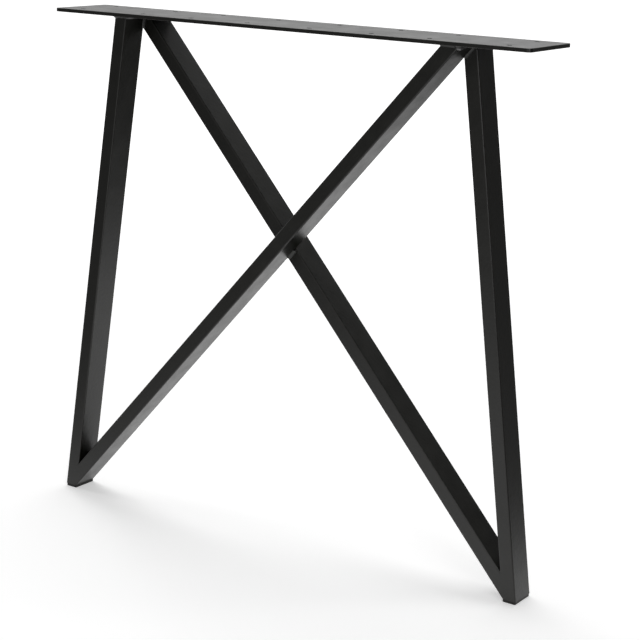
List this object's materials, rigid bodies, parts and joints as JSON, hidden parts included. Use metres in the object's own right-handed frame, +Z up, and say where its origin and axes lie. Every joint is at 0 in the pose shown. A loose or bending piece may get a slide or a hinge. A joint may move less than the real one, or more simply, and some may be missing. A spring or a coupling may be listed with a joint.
{
  "type": "table leg",
  "caption": "Crossed steel table leg: V frames of rectangular tube welded back to back under a flat plate with screw holes, standing on small closed feet.",
  "frame": {"origin": "on the floor, midway between the feet and under the middle of the top plate", "axes": "+X along the top plate, from the front V's foot towards the rear V's foot; +Y from the front V to the rear V; +Z up"},
  "size_m": [0.758, 0.106, 0.72],
  "materials": {
    "coated_steel": "satin black powder coat"
  },
  "bodies": {
    "root": {"top_plate": "coated_steel", "front_post": "coated_steel", "front_diagonal": "coated_steel", "rear_post": "coated_steel", "rear_diagonal": "coated_steel", "front_foot_plate": "coated_steel", "rear_foot_plate": "coated_steel", "left_top_weld": "coated_steel", "right_top_weld": "coated_steel", "front_crossing_weld": "coated_steel", "rear_crossing_weld": "coated_steel"}
  },
  "joints": []
}
